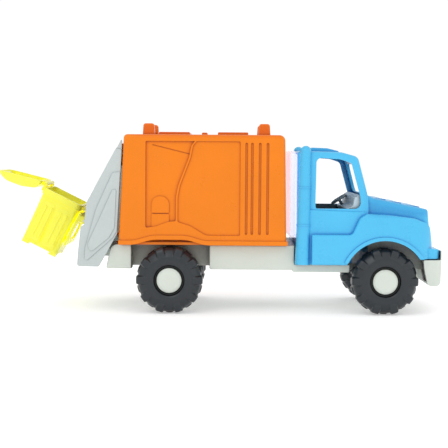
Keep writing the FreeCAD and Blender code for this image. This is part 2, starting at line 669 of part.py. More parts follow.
def skin_piece(name, corners, inner, outer):
    """The same flat shape on both sides, between two distances from the middle."""
    return both_sides(lambda side: prism(name, corners, outer - inner, side * (inner + outer) / 2))


PANEL_TOP = 173.5
SLANT = [(-40.5, 117.0, 20), (-38.3, 129.0, 30), (-27.6, 157.0, 30), (-25.2, 169.0, 4), (-21.6, PANEL_TOP)]
main_panel = skin_piece("main_panel", SLANT + [
    (22.4, PANEL_TOP, 1.5), (22.4, 78.8, 1.5), (-12.0, 78.8, 14), (-27.0, 88.0, 16), (-40.5, 92.4, 2)],
    half_box - 1.2, half_box + 3)
rear_panel = skin_piece("rear_panel", [
    (-72.9, PANEL_TOP, 1.5), (-72.9, 86.2, 1.5), (-62.0, 88.0, 20), (-50.0, 92.6, 14), (-42.3, 93.0, 2)]
    + [(x - 1.8, *rest) for x, *rest in SLANT], half_box - 1.9, half_box + 3)
crease = skin_piece("crease", [
    (-66, 169.2), (-66, 170.3), (-28.6, 161.2), (-28.6, 160.1)], half_box - 2.5, half_box)
RIBS_X = (28.5, 34.2, 42.0, 49.8)
rib_grooves = []
for x in RIBS_X:
    rib_grooves += skin_piece("rib_groove", [
        (x - 1.3, 80, 1.2), (x + 1.3, 80, 1.2), (x + 1.3, 172.2, 1.2), (x - 1.3, 172.2, 1.2)],
        half_box - 1.2, half_box + 3)
door_plates = skin_piece("door_top", [
    (-66.8, 101.4, 0.8), (-49.2, 101.4, 0.8), (-49.2, 118.2, 8.4), (-66.8, 118.2, 8.4)],
    half_box - 2.4, half_box - 0.9)
door_plates += skin_piece("door_base", [
    (-66.8, 86.4, 0.8), (-49.2, 90.6, 0.8), (-49.2, 100.2, 0.8), (-66.8, 100.2, 0.8)],
    half_box - 2.4, half_box - 0.9)

POST_X = (-72.0, 47.0)
roof_bits = []
for x in POST_X:
    for side in (-1, 1):
        post = prism("roof_post", [
            (x - 6.4, 178), (x - 5.4, 192.0, 2.6), (x + 5.4, 192.0, 2.6), (x + 6.4, 178)], 12.0, side * 30.0)
        roof_bits.append(rounded(post, 1.8, lambda edge: edge.BoundBox.ZMax > 179 and
                                 (level(edge, "Y", side * 24.0) or level(edge, "Y", side * 36.0))))
    roof_bits.append(prism("roof_cross", [
        (x - 3.4, 178), (x - 3.0, 184.0, 1), (x + 3.0, 184.0, 1), (x + 3.4, 178)], 50.0))
for start, stop, reach in ((-62.0, -30.0, 52.0), (-1.0, 30.5, 52.0), (-18.2, -12.2, 10.0)):
    roof_bits.append(prism("roof_hatch", [
        (start, 178), (start, 183.4, 1.2), (stop, 183.4, 1.2), (stop, 178)], reach))

GATE_EAR_Y = (50.6, 56.4)
gate = (size["gate_pivot_x"], size["gate_pivot_z"])
gate_ears = []
FLOOR_SCREWS = [(-84.0, -54.0), (-84.0, 54.0), (52.0, -54.0), (52.0, 54.0)]
for side in (-1, 1):
    low, high = sorted((side * GATE_EAR_Y[0], side * GATE_EAR_Y[1]))
    gate_ears.append(rod("gate_ear", 2.9, high - low, (gate[0], (low + high) / 2, gate[1])))
    gate_ears.append(prism("gate_web", [
        (gate[0], gate[1] - 2.9), (-92, gate[1] - 2.9, 4), (-84, 172), (-84, 178.8), (-93.5, 178.8),
        (-93.5, 171, 2), (gate[0], gate[1] + 2.9)], high - low, (low + high) / 2))
bosses = []
for x, y in FLOOR_SCREWS:
    low, high = sorted((math.copysign(50, y), math.copysign(half_box - 2, y)))
    bosses.append(block("floor_boss", (x - 4, low, 71.75), (x + 4, high, 86)))
shell_blank = fuse("shell_blank", [container_outer, rim_band] + roof_bits)
shell_open = cut("shell_open", shell_blank, [container_inner] + main_panel + rear_panel + crease
                 + rib_grooves)
shell_full = fuse("shell_full", [shell_open] + door_plates + gate_ears + bosses)
boss_holes = [rod("boss_hole", 1.5, 12.0, (x, y, 76.5), Vector(0, 0, 1)) for x, y in FLOOR_SCREWS]
gate_bore = rod("gate_bore", "Sheet.pin_radius", 120.0, (gate[0], 0, gate[1]))
node(cut("shell_body", shell_full, boss_holes + [gate_bore]), "container_shell")
node(rod("gate_pin", "Sheet.pin_radius", 112.0, (gate[0], 0, gate[1])), "tailgate_hinge_pin")

FLOOR_THICK = 2.6
floor_plate = block("floor_plate", (-98.2, -61.2, box_base), (64.0, 61.2, box_base + FLOOR_THICK))
tip_arms = []
for side in (-1, 1):
    low, high = sorted((side * TIP_EAR_Y[0], side * TIP_EAR_Y[1]))
    tip_arms.append(rod("tip_eye", 4.6, high - low, (pivot[0], (low + high) / 2, pivot[1])))
    tip_arms.append(prism("tip_arm", [
        (pivot[0], 70.6), (pivot[0] + 2.2, 62.0), (-94, box_base), (-94, box_base + FLOOR_THICK),
        (-99, box_base + FLOOR_THICK)], high - low, (low + high) / 2))
floor_holes = [rod("floor_hole", 1.7, 8.0, (x, y, box_base), Vector(0, 0, 1)) for x, y in FLOOR_SCREWS]
floor_sinks = [rod("floor_sink", 3.1, 2.0, (x, y, box_base + 0.9), Vector(0, 0, 1)) for x, y in FLOOR_SCREWS]
tip_bore = rod("tip_bore", "Sheet.pin_radius + Sheet.pin_play", 104.0, (pivot[0], 0, pivot[1]))
node(cut("floor_body", fuse("floor_solid", [floor_plate] + tip_arms), floor_holes + floor_sinks + [tip_bore]),
     "container_floor")
floor_screws = []
for x, y in FLOOR_SCREWS:
    head = rod("floor_screw_head", 2.9, 1.7, (x, y, box_base + 0.95), Vector(0, 0, 1))
    shank = rod("floor_screw_shank", 1.5, 10.0, (x, y, box_base + 6.6), Vector(0, 0, 1))
    floor_screws.append(fuse("floor_screw", [head, shank]))
floor_screw_set = doc.addObject("Part::Compound", "floor_screw_set")
floor_screw_set.Links = floor_screws
node(floor_screw_set, "floor_screws")


# ---------------------------------------------------------------- hopper

half_hopper = size["hopper_width"] / 2
cheek = size["cheek"]
lift = (size["lift_pivot_x"], size["lift_pivot_z"])
cheeks = skin_piece("cheek", [
    (-142.3, 46.6, 2.5), (-120.3, 46.2, 2), (-101.8, 79.8, 5), (-97.3, 164.9, 2), (-103.2, 165.6, 2),
    (-132.6, 111.5, 9), (-135.2, 88.6, 0.8), (-138.5, 86.8, 0.8), (-141.4, 60.4, 30)],
    half_hopper - cheek, half_hopper)
cheek_panel = skin_piece("cheek_panel", [
    (-106.2, 141.4, 3), (-98.9, 142.2, 0.8), (-102.2, 83.0, 4), (-106.0, 76.0, 3), (-134.6, 50.6, 2),
    (-133.8, 66.0, 8), (-122.9, 104.4, 30)], half_hopper - 1, half_hopper + 0.9)
cheek_ridge = skin_piece("cheek_ridge", [
    (-106.2, 124.4, 1.0), (-102.8, 124.4, 1.0), (-104.4, 86.0, 4), (-110.0, 76.0, 4), (-129.0, 60.4, 3),
    (-131.4, 69.4, 6), (-121.2, 91.4, 30)], half_hopper - 1, half_hopper + 1.7)
INNER_WIDTH = 2 * (half_hopper - cheek) + 0.4
upper_panel = prism("upper_panel", [
    (-101.2, 168.0), (-104.2, 163.6, 4), (-113.0, 148.4, 1), (-110.2, 147.0, 1), (-101.6, 162.2, 4),
    (-97.6, 167.0)], INNER_WIDTH)
gate_barrel = rod("gate_barrel", 3.0, 99.6, (gate[0], 0, gate[1]))
cheek_horn = skin_piece("cheek_horn", [
    (-105.4, 161.0), (-103.6, 164.9, 3), (-100.9, 168.4, 3), (-97.6, 175.3, 0.4), (-96.9, 172.0, 1),
    (-97.3, 160.0)], half_hopper - cheek - 0.4, half_hopper - 0.7)
scoop = prism("scoop", [
    (-142.3, 46.8, 2), (-139.2, 46.8), (-103.2, 77.6, 1), (-105.1, 79.9, 1), (-137.6, 52.1, 4),
    (-135.4, 83.2, 1), (-134.9, 86.8, 1), (-138.5, 86.8, 1), (-141.4, 60.4, 30)], INNER_WIDTH)
LUG_Y = (19.6, 24.8)
lift_lugs = []
for side in (-1, 1):
    low, high = sorted((side * LUG_Y[0], side * LUG_Y[1]))
    lift_lugs.append(rod("lift_lug", 3.6, high - low, (lift[0], (low + high) / 2, lift[1])))
    lift_lugs.append(prism("lug_foot", [
        (lift[0] - 3.1, lift[1]), (-138.6, 82.0), (-136.0, 82.0), (lift[0] + 3.1, lift[1])],
        high - low, (low + high) / 2))
ear_notches = [block("ear_notch", (-108, min(side * 50.0, side * 57.0), 163.4),
                     (-95, max(side * 50.0, side * 57.0), 180)) for side in (-1, 1)]
gate_run = rod("gate_run", "Sheet.pin_radius + Sheet.pin_play", 110.0, (gate[0], 0, gate[1]))
lift_bore = rod("lift_bore", "Sheet.pin_radius", 70.0, (lift[0], 0, lift[1]))
hopper_solid = fuse("hopper_solid", cheeks + cheek_panel + cheek_ridge
                    + cheek_horn + [upper_panel, gate_barrel, scoop] + lift_lugs)
node(cut("hopper_body", hopper_solid, [gate_run, lift_bore] + ear_notches), "hopper_shell")
node(rod("lift_pin", "Sheet.pin_radius", 62.0, (lift[0], 0, lift[1])), "bin_lift_pin")


# ---------------------------------------------------------------- bin lift, bin and lid
# These are drawn upright about the lift pin, and are then turned by the resting tilt.

tilt = size["bin_tilt"]
lift_place = Placement(Vector(lift[0], 0, lift[1]), Rotation(Vector(0, 1, 0), tilt))
BIN_RIGHT = -9.4
BIN_FOOT = -48.2
bin_left = BIN_RIGHT - size["bin_depth"] - 2.2
bin_rim = BIN_FOOT + size["bin_height"]
half_bin = size["bin_width"] / 2
bin_wall = size["bin_wall"]

lift_plate = block("lift_plate", (-8.4, -30, -32), (-6.0, 30, 5.6))
lift_gap = prism("lift_gap", [(-18, -26, 4), (18, -26, 4), (18, -8, 4), (-18, -8, 4)], 10.0, -7.0, "YZ_Plane")
lift_arms = []
for side in (-1, 1):
    low, high = sorted((side * 25.4, side * 30.0))
    lift_arms.append(rod("lift_eye", 3.4, high - low, (0, (low + high) / 2, 0)))
    lift_arms.append(block("lift_arm", (-8.0, low, -3.0), (0, high, 3.0)))
lift_run = rod("lift_run", "Sheet.pin_radius + Sheet.pin_play", 70.0, (0, 0, 0))
lift_body = cut("lift_body", fuse("lift_solid", [lift_plate] + lift_arms), [lift_gap, lift_run])
lift_body.Placement = lift_place
node(lift_body, "bin_lift")


def ring(x_low, x_high, half_y, corner):
    return outline([(x_low, -half_y, corner), (x_high, -half_y, corner), (x_high, half_y, corner),
                    (x_low, half_y, corner)])


def tapered(name, base, rim_rect, low, high):
    """A box with rounded corners that widens from its base to its rim."""
    body = doc.addObject("PartDesign::Body", name)
    lower = sketch_on(body, name + "_base", "XY_Plane", ring(*base), low)
    upper = sketch_on(body, name + "_rim", "XY_Plane", ring(*rim_rect), high)
    loft = body.newObject("PartDesign::AdditiveLoft", name + "_loft")
    loft.Profile = lower
    loft.Sections = [upper]
    loft.Ruled = True
    body.Tip = loft
    return body


tub_outer = tapered("tub_outer", (bin_left + 1.8, BIN_RIGHT - 1.4, half_bin - 2.2, 4.5),
                    (bin_left, BIN_RIGHT, half_bin, 5.5), BIN_FOOT + 2.4, bin_rim)
tub_inner = tapered("tub_inner", (bin_left + 1.8 + bin_wall, BIN_RIGHT - 1.4 - bin_wall,
                                  half_bin - 2.2 - bin_wall, 3.0),
                    (bin_left + bin_wall, BIN_RIGHT - bin_wall, half_bin - bin_wall, 4.0),
                    BIN_FOOT + 2.4 + bin_wall, bin_rim + 0.01)
tub_band = tapered("tub_band", (bin_left - 1.0, BIN_RIGHT + 0.2, half_bin + 1.0, 6.0),
                   (bin_left - 1.2, BIN_RIGHT + 0.4, half_bin + 1.2, 6.2), bin_rim - 6.6, bin_rim)
hook = block("tub_hook", (BIN_RIGHT - 1, -20, bin_rim - 4.6), (-5.6, 20, bin_rim - 1.2))
PANELS_X = ((bin_left + 5.0, bin_left + 18.6), (bin_left + 22.0, bin_left + 35.6))
tub_panels = []
for start, stop in PANELS_X:
    tub_panels += skin_piece("tub_panel", [
        (start, BIN_FOOT + 6, 2), (stop, BIN_FOOT + 6, 2), (stop, bin_rim - 11, 5),
        (start, bin_rim - 11, 5)], half_bin - 2.6, half_bin + 0.2)
feet = []
for x in (bin_left + 2.4, BIN_RIGHT - 9.4):
    for side in (-1, 1):
        low, high = sorted((side * (half_bin - 11), side * (half_bin - 2.6)))
        feet.append(block("tub_foot", (x, low, BIN_FOOT), (x + 7.6, high, BIN_FOOT + 4)))
hinge_x = bin_left - 2.2
hinge_z = bin_rim + 2.8
LID_LUG_Y = (18.0, 22.0)
LID_PIN = 1.0
tub_lugs = []
for side in (-1, 1):
    low, high = sorted((side * LID_LUG_Y[0], side * LID_LUG_Y[1]))
    tub_lugs.append(rod("lid_lug", 2.0, high - low, (hinge_x, (low + high) / 2, hinge_z)))
    tub_lugs.append(block("lid_lug_foot", (hinge_x - 1.2, low, bin_rim - 5), (hinge_x + 2.4, high, hinge_z)))
tub_solid = cut("tub_hollow", fuse("tub_blank", [tub_outer, tub_band, hook] + tub_panels + feet + tub_lugs),
                [tub_inner])
tub = cut("tub_body", tub_solid, [rod("lid_bore", LID_PIN, 60.0, (hinge_x, 0, hinge_z))])
tub.Placement = lift_place
node(tub, "bin_tub")
lid_pin = rod("lid_pin_rod", LID_PIN, 46.0, (0, 0, 0))
lid_hinge = lift_place.multVec(Vector(hinge_x, 0, hinge_z))
lid_pin.Placement = Placement(lid_hinge + Vector(0, -23, 0), lid_pin.Placement.Rotation)
node(lid_pin, "bin_lid_pin")

lid_length = size["bin_depth"] + 8.8
LID_LOW = -2.4
LID_START = 3.4
lid_half = half_bin + 1.6
lid_outer = prism("lid_outer", [
    (LID_START, LID_LOW), (LID_START, 1.0, 1), (9, 6.4, 5), (24, 8.4, 30), (40, 6.2, 12),
    (lid_length, -1.0, 0.6), (lid_length, LID_LOW)], 2 * lid_half)
lid_plan = prism("lid_plan", [
    (LID_START, -lid_half, 3), (lid_length, -lid_half, 9), (lid_length, lid_half, 9),
    (LID_START, lid_half, 3)], 30.0, 3.0, "XY_Plane")
lid_front = prism("lid_front", [
    (-lid_half, LID_LOW - 1), (-lid_half, 0.6, 1.5), (-lid_half + 7, 9.2, 9), (lid_half - 7, 9.2, 9),
    (lid_half, 0.6, 1.5), (lid_half, LID_LOW - 1)], 120.0, 24.0, "YZ_Plane")
lid_inner = prism("lid_inner", [
    (LID_START + 2.0, LID_LOW - 1), (LID_START + 2.0, 0.4), (9.6, 4.6, 4), (24, 6.6, 28),
    (39.2, 4.6, 10), (lid_length - 2.4, -1.6), (lid_length - 2.4, LID_LOW - 1)], 2 * (lid_half - 2.4))
lid_inner_plan = prism("lid_inner_plan", [
    (0, -lid_half + 2.2, 2), (lid_length - 2.4, -lid_half + 2.2, 7), (lid_length - 2.4, lid_half - 2.2, 7),
    (0, lid_half - 2.2, 2)], 30.0, 3.0, "XY_Plane")
lid_inner_front = prism("lid_inner_front", [
    (-lid_half + 2.2, LID_LOW - 3), (-lid_half + 2.2, 0.2, 1), (-lid_half + 8, 7.4, 8),
    (lid_half - 8, 7.4, 8), (lid_half - 2.2, 0.2, 1), (lid_half - 2.2, LID_LOW - 3)], 120.0, 24.0, "YZ_Plane")
lid_crown = trimmed("lid_crown", trimmed("lid_crown_side", lid_outer, lid_plan), lid_front)
lid_cavity = trimmed("lid_cavity", trimmed("lid_cavity_side", lid_inner, lid_inner_plan), lid_inner_front)
knuckle = rod("lid_knuckle", 2.0, 35.0, (0, 0, 0))
knuckle_web = block("lid_web", (0, -17.5, -1.5), (LID_START + 1.2, 17.5, 2.2))
lid = cut("lid_body", fuse("lid_solid", [cut("lid_dome", lid_crown, [lid_cavity]), knuckle, knuckle_web]),
          [rod("lid_run", LID_PIN + size["pin_play"], 60.0, (0, 0, 0))])
lid.Placement = Placement(lid_hinge, Rotation(Vector(0, 1, 0), tilt - size["lid_open"]))
node(lid, "bin_lid")


# ---------------------------------------------------------------- check and write

doc.recompute()
faults = [thing.Label for thing in doc.Objects if "Invalid" in thing.State or "Error" in thing.State]
if faults:
    raise RuntimeError("failed objects: " + ", ".join(faults))
for feature in nodes:
    if feature.Shape.isNull() or not feature.Shape.isValid():
        raise RuntimeError("bad shape: " + feature.Label)
os.makedirs("parts", exist_ok=True)
for feature in nodes:
    feature.Shape.exportStep("parts/%s.step" % feature.Label)
    extent = feature.Shape.BoundBox
    print("%-22s solids %d volume %9.0f  x %.1f..%.1f y %.1f..%.1f z %.1f..%.1f" % (
        feature.Label, len(feature.Shape.Solids), feature.Shape.Volume, extent.XMin, extent.XMax,
        extent.YMin, extent.YMax, extent.ZMin, extent.ZMax))
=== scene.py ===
import json
import math

import bmesh
import bpy
from mathutils import Matrix, Vector


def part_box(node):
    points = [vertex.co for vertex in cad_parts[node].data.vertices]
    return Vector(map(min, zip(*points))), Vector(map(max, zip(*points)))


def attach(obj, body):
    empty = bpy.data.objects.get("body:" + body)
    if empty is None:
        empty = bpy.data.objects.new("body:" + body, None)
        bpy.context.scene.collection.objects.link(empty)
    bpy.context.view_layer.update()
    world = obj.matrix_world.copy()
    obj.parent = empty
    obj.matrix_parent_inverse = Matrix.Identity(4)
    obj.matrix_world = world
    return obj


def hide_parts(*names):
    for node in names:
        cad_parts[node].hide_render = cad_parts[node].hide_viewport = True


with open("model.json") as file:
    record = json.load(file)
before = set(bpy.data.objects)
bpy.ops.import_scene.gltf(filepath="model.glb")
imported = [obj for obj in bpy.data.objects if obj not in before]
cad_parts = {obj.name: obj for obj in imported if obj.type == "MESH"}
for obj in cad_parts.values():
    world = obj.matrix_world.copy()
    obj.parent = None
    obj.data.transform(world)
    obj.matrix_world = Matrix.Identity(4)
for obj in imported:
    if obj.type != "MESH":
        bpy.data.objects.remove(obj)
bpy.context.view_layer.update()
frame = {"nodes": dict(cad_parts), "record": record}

MM = 0.001


# ---------------------------------------------------------------- materials

# Noise scales, per metre: flow marks, specks, handling marks, the fine skin, slow waves, and the
# marks on turned and plated steel.
FLOW_SCALE = 14.0
SPECK_SCALE = 900.0
MARKS_SCALE = 55.0
SKIN_SCALE = 1400.0
WAVE_SCALE = 38.0
TURNING_SCALE = 220.0
PLATING_SCALE = 700.0

SPECK_SHARE = 0.05
SKIN_DEPTH = 0.1 * MM
WAVE_DEPTH = 0.5 * MM
WAVE_STRENGTH = 0.25
COAT_ROUGHNESS = 0.18
SUBSURFACE_REACH = (0.004, 0.004, 0.002)
HOLLOW_SAMPLES = 8
# The openness at which the painted shade in grooves, the painted shade in hollows and the painted glow
# of translucent plastic begin and end.
GROOVE_RANGE = (0.35, 0.92)
HOLLOW_RANGE = (0.12, 0.42)
GLOW_RANGE = (0.1, 0.8)


def node_link(tree, source, target):
    tree.links.new(source, target)


def noise(tree, coords, scale, detail=3.0, roughness=0.5):
    texture = tree.nodes.new("ShaderNodeTexNoise")
    texture.inputs["Scale"].default_value = scale
    texture.inputs["Detail"].default_value = detail
    texture.inputs["Roughness"].default_value = roughness
    node_link(tree, coords, texture.inputs["Vector"])
    return texture.outputs["Fac"]


def spread(tree, value, low, high, from_low=0.3, from_high=0.7):
    """Stretches a 0..1 noise to a range of values."""
    node = tree.nodes.new("ShaderNodeMapRange")
    node.inputs["From Min"].default_value = from_low
    node.inputs["From Max"].default_value = from_high
    node.inputs["To Min"].default_value = low
    node.inputs["To Max"].default_value = high
    node_link(tree, value, node.inputs["Value"])
    return node.outputs["Result"]


def shade(colour, factor):
    return tuple(min(1.0, channel * factor) for channel in colour[:3]) + (1.0,)


def mixed(tree, factor, low, high):
    """Colours or colour outputs mixed by a factor."""
    node = tree.nodes.new("ShaderNodeMix")
    node.data_type = "RGBA"
    node_link(tree, factor, node.inputs["Factor"])
    for socket, value in (("A", low), ("B", high)):
        if isinstance(value, tuple):
            node.inputs[socket].default_value = value
        else:
            node_link(tree, value, node.inputs[socket])
    return node.outputs["Result"]


def openness(tree, reach, low, high):
    """0 far inside a hollow, 1 in the open; reach is in millimetres."""
    hollow = tree.nodes.new("ShaderNodeAmbientOcclusion")
    hollow.samples = HOLLOW_SAMPLES
    hollow.inputs["Distance"].default_value = reach * MM
    return spread(tree, hollow.outputs["AO"], 0.0, 1.0, low, high)


def plastic(name, colour, painted_groove_shade, roughness=0.3, coat=0.12, grain=0.05, groove_reach=4.0,
            translucent=0.0, painted_shade_and_glow=None, deep_reach=45.0, gloss=0.35, upper=None,
            painted_glow=0.45):
    """Moulded plastic: faint flow marks, a fine skin, handling marks in the gloss and painted shade
    in the grooves. The hollow colour is painted shade inside hollows, or the colour of a painted glow
    on translucent plastic; upper is (colour, x range, z range) for a region in millimetres with painted
    shade or a painted highlight; and the glow strength is how strongly the hollows of translucent
    plastic are painted glowing."""
    material = bpy.data.materials.new(name)
    material.use_nodes = True
    tree = material.node_tree
    shader = tree.nodes["Principled BSDF"]
    coords = tree.nodes.new("ShaderNodeTexCoord").outputs["Object"]

    flow = spread(tree, noise(tree, coords, FLOW_SCALE, 4.0, 0.6), 0.0, 1.0)
    surface = mixed(tree, flow, shade(colour, 0.955), shade(colour, 1.035))
    speckle = spread(tree, noise(tree, coords, SPECK_SCALE, 2.0, 0.5), 0.0, SPECK_SHARE)
    surface = mixed(tree, speckle, surface, shade(colour, 0.7))
    # Painted shade or a painted highlight over one region of the piece, chosen by position.
    if upper:
        tone, x_range, z_range = upper
        parts = tree.nodes.new("ShaderNodeSeparateXYZ")
        node_link(tree, coords, parts.inputs[0])
        forward = spread(tree, parts.outputs["X"], 0.0, 1.0, x_range[0] * MM, x_range[1] * MM)
        above = spread(tree, parts.outputs["Z"], 0.0, 1.0, z_range[0] * MM, z_range[1] * MM)
        painted_light_mask = tree.nodes.new("ShaderNodeMath")
        painted_light_mask.operation = "MULTIPLY"
        node_link(tree, forward, painted_light_mask.inputs[0])
        node_link(tree, above, painted_light_mask.inputs[1])
        surface = mixed(tree, painted_light_mask.outputs[0], surface, tone + (1.0,))
    # Painted shade inside hollows; on translucent plastic the hollow colour is that of a painted glow.
    if painted_shade_and_glow:
        surface = mixed(tree, openness(tree, deep_reach, *HOLLOW_RANGE), painted_shade_and_glow + (1.0,), surface)
    # Painted shade: the groove colour where little of the world is seen close by, in grooves and
    # creases.
    surface = mixed(tree, openness(tree, groove_reach, *GROOVE_RANGE), painted_groove_shade + (1.0,), surface)
    node_link(tree, surface, shader.inputs["Base Color"])

    marks = spread(tree, noise(tree, coords, MARKS_SCALE, 5.0, 0.65),
                   roughness - 0.05, roughness + 0.07)
    node_link(tree, marks, shader.inputs["Roughness"])
    shader.inputs["Coat Weight"].default_value = coat
    shader.inputs["Coat Roughness"].default_value = COAT_ROUGHNESS
    shader.inputs["Specular IOR Level"].default_value = gloss

    skin = tree.nodes.new("ShaderNodeBump")
    skin.inputs["Strength"].default_value = grain
    skin.inputs["Distance"].default_value = SKIN_DEPTH
    node_link(tree, noise(tree, coords, SKIN_SCALE, 3.0, 0.6), skin.inputs["Height"])
    wave = tree.nodes.new("ShaderNodeBump")
    wave.inputs["Strength"].default_value = WAVE_STRENGTH
    wave.inputs["Distance"].default_value = WAVE_DEPTH
    node_link(tree, noise(tree, coords, WAVE_SCALE, 2.0, 0.4), wave.inputs["Height"])
    node_link(tree, skin.outputs["Normal"], wave.inputs["Normal"])
    node_link(tree, wave.outputs["Normal"], shader.inputs["Normal"])
    if translucent:
        shader.inputs["Subsurface Weight"].default_value = translucent
        shader.inputs["Subsurface Radius"].default_value = SUBSURFACE_REACH
        # Painted glow: the hollows of translucent plastic emit the hollow colour, more strongly the
        # more closed in they are.
        shader.inputs["Emission Color"].default_value = painted_shade_and_glow + (1.0,)
        closed = tree.nodes.new("ShaderNodeMath")
        closed.operation = "SUBTRACT"
        closed.inputs[0].default_value = 1.0
        node_link(tree, openness(tree, deep_reach, *GLOW_RANGE), closed.inputs[1])
        painted_glow_level = tree.nodes.new("ShaderNodeMath")
        painted_glow_level.operation = "MULTIPLY"
        painted_glow_level.inputs[1].default_value = painted_glow
        node_link(tree, closed.outputs[0], painted_glow_level.inputs[0])
        node_link(tree, painted_glow_level.outputs[0], shader.inputs["Emission Strength"])
    return material


def metal(name, colour, roughness=0.3):
    """Zinc-plated steel with fine turning marks."""
    material = bpy.data.materials.new(name)
    material.use_nodes = True
    tree = material.node_tree
    shader = tree.nodes["Principled BSDF"]
    coords = tree.nodes.new("ShaderNodeTexCoord").outputs["Object"]
    turning = noise(tree, coords, TURNING_SCALE, 4.0, 0.6)
    tone = mixed(tree, turning, shade(colour, 0.8), shade(colour, 1.05))
    node_link(tree, tone, shader.inputs["Base Color"])
    shader.inputs["Metallic"].default_value = 1.0
    plating = spread(tree, noise(tree, coords, PLATING_SCALE), roughness - 0.06, roughness + 0.1)
    node_link(tree, plating, shader.inputs["Roughness"])
    return material


# Each slot's first colour is its own; the second is painted shade in its grooves. The hollow colours
# are painted shade, and on pale and yellow plastic a painted glow. The upper regions paint shade on the
# container's top and the bonnet, and a highlight on the top of the dash.
SLOTS = {
    "orange_plastic": plastic("orange_plastic", (0.80, 0.200, 0.0), (0.42, 0.060, 0.0), 0.30, 0.04,
                              painted_shade_and_glow=(0.62, 0.09, 0.0), gloss=0.28,
                              upper=((0.76, 0.155, 0.0), (-90, -80), (176.0, 180.0))),
    "blue_plastic": plastic("blue_plastic", (0.070, 0.48, 0.79), (0.01, 0.20, 0.58), 0.28, 0.10,
                            painted_shade_and_glow=(0.0, 0.11, 0.55),
                            upper=((0.045, 0.38, 0.70), (146, 160), (97.5, 101.5))),
    "light_grey_plastic": plastic("light_grey_plastic", (0.60, 0.65, 0.59), (0.27, 0.29, 0.25), 0.38,
                                  painted_shade_and_glow=(0.045, 0.045, 0.04), deep_reach=38.0),
    "hopper_grey_plastic": plastic("hopper_grey_plastic", (0.485, 0.54, 0.535), (0.26, 0.31, 0.32),
                                   0.34),
    "pale_plastic": plastic("pale_plastic", (0.80, 0.80, 0.90), (0.60, 0.60, 0.80), 0.35,
                            translucent=0.1, painted_shade_and_glow=(0.80, 0.80, 0.92), deep_reach=12.0, painted_glow=0.8),
    "yellow_plastic": plastic("yellow_plastic", (0.86, 0.85, 0.08), (0.80, 0.72, 0.0), 0.32,
                              translucent=0.25, painted_shade_and_glow=(0.86, 0.79, 0.0), deep_reach=30.0,
                              painted_glow=0.5),
    "dark_grey_plastic": plastic("dark_grey_plastic", (0.085, 0.125, 0.15), (0.02, 0.03, 0.035),
                                 0.5, 0.0, 0.12,
                                 upper=((0.50, 0.61, 0.66), (126, 132), (103.5, 106))),
    "mid_grey_plastic": plastic("mid_grey_plastic", (0.22, 0.28, 0.31), (0.05, 0.06, 0.07),
                                0.45, 0.0, 0.1),
    "black_plastic": plastic("black_plastic", (0.014, 0.018, 0.018), (0.002, 0.002, 0.002),
                             0.5, 0.0, 0.1),
    "tyre": plastic("tyre", (0.012, 0.017, 0.022), (0.002, 0.003, 0.004), 0.34, 0.0, 0.2, 5.0,
                    gloss=0.5),
    "steel": metal("steel", (0.62, 0.63, 0.64)),
}


# ---------------------------------------------------------------- carried-over CAD nodes

WELD_REACH = 0.002 * MM
FLAT_ANGLE = math.radians(0.6)
EDGE_ANGLE = math.radians(28)
EDGE_SEGMENTS = 3
# Edge rounding by slot, in millimetres.
BEVELS = {"steel": 0.15, "yellow_plastic": 0.5, "orange_plastic": 0.8, "hopper_grey_plastic": 0.7}
PLAIN_BEVEL = 0.45


def refine(piece, bevel):
    """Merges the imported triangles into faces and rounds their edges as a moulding's are."""
    weld = piece.modifiers.new("weld", "WELD")
    weld.merge_threshold = WELD_REACH
    planar = piece.modifiers.new("planar", "DECIMATE")
    planar.decimate_type = "DISSOLVE"
    planar.angle_limit = FLAT_ANGLE
    edge = piece.modifiers.new("edge", "BEVEL")
    edge.width = bevel * MM
    edge.segments = EDGE_SEGMENTS
    edge.limit_method = "ANGLE"
    edge.angle_limit = EDGE_ANGLE
    edge.use_clamp_overlap = True
    edge.harden_normals = False
    even = piece.modifiers.new("even", "WEIGHTED_NORMAL")
    even.keep_sharp = False
    for polygon in piece.data.polygons:
        polygon.use_smooth = True


slot_of = {part["node"]: part["material_slot"] for part in frame["record"]["subparts"]}
for name, piece in frame["nodes"].items():
    slot = slot_of[name]
    piece.data.materials.clear()
    piece.data.materials.append(SLOTS[slot])
    refine(piece, BEVELS.get(slot, PLAIN_BEVEL))


# ---------------------------------------------------------------- added pieces

def closed_mesh(name, verts, faces, slot):
    """A mesh in metres with its faces turned outwards."""
    mesh = bpy.data.meshes.new(name)
    mesh.from_pydata(verts, [], faces)
    mesh.update()
    shape = bmesh.new()
    shape.from_mesh(mesh)
    bmesh.ops.recalc_face_normals(shape, faces=shape.faces)
    shape.to_mesh(mesh)
    shape.free()
    mesh.materials.append(SLOTS[slot])
    return mesh


def linked(name, mesh):
    piece = bpy.data.objects.new(name, mesh)
    bpy.context.collection.objects.link(piece)
    return piece


def centre(node_name):
    """The middle of a node's box, in metres."""
    low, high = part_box(node_name)
    return Vector([(a + b) / 2 for a, b in zip(low, high)])


# ---------------------------------------------------------------- tyres

# Lugs on each shoulder are LUG_STEP degrees apart, and the two shoulders' lugs alternate. Their
# width, corner radius, eased edge and run along the cross-section from the middle are in mm.
LUG_STEP = 36.0
LUG_HALF_WIDTH = 4.0
LUG_CORNER = 2.8
LUG_EDGE = 1.8
LUG_LENGTH = (-1.2, 17.2)
LUG_INNER_RADIUS = 27.0
ROUND_STEPS = 480
PROFILE_STEPS = 34
